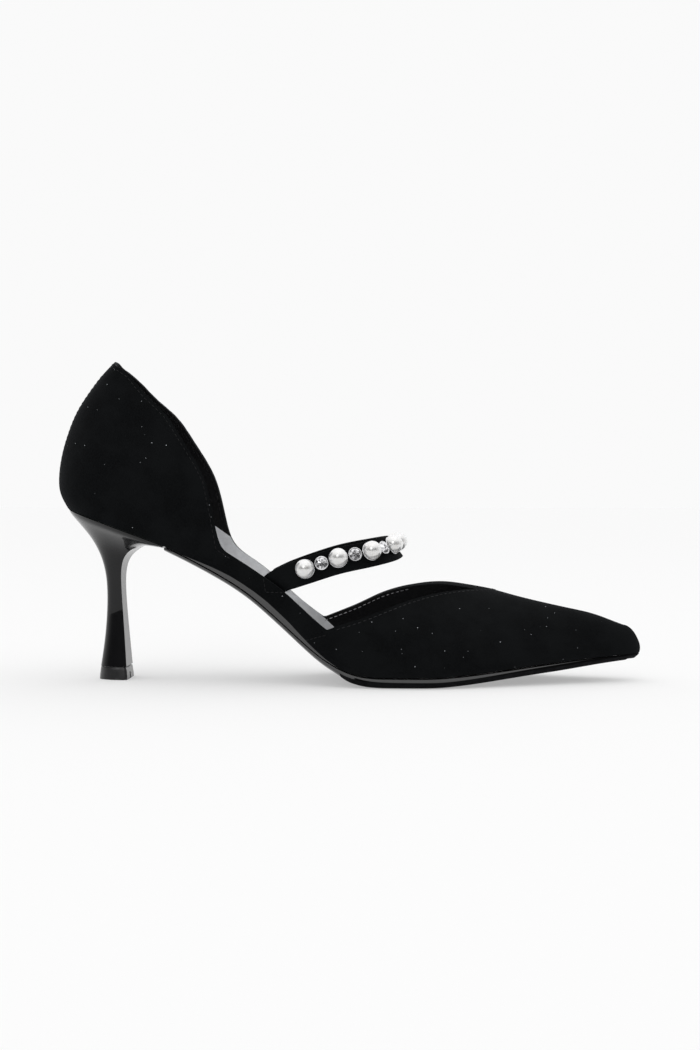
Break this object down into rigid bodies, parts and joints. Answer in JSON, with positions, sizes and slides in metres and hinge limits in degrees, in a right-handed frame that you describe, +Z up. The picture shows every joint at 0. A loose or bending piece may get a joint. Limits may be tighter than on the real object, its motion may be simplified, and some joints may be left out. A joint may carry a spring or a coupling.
{
  "type": "high heel shoe",
  "caption": "Pointed high heel pump with open sides, a raised heel counter, an instep strap set with round beads and stones, and a slim flared heel.",
  "frame": {"origin": "on the floor, under the middle of the shoe's bounding box", "axes": "+X towards the toe, -Y the little-toe (lateral) side, +Z up"},
  "size_m": [0.2484, 0.0744, 0.1358],
  "materials": {
    "suede": "matt suede nap",
    "metallic_leather": "silver grey metallic",
    "sole_gloss": "gloss black",
    "heel_gloss": "high gloss black",
    "lift_rubber": "satin black",
    "pearl": "pearl lustre",
    "crystal": "foiled facets in a silver bezel"
  },
  "bodies": {
    "root": {"upper": "suede", "strap": "suede", "insole": "metallic_leather", "outsole": "sole_gloss", "heel": "heel_gloss", "top_lift": "lift_rubber", "pearl_1": "pearl", "pearl_2": "pearl", "pearl_3": "pearl", "pearl_4": "pearl", "pearl_5": "pearl", "pearl_6": "pearl", "pearl_7": "pearl", "pearl_8": "pearl", "pearl_9": "pearl", "stone_1": "crystal", "stone_2": "crystal", "stone_3": "crystal", "stone_4": "crystal", "stone_5": "crystal", "stone_6": "crystal", "stone_7": "crystal", "stone_8": "crystal"}
  },
  "joints": []
}
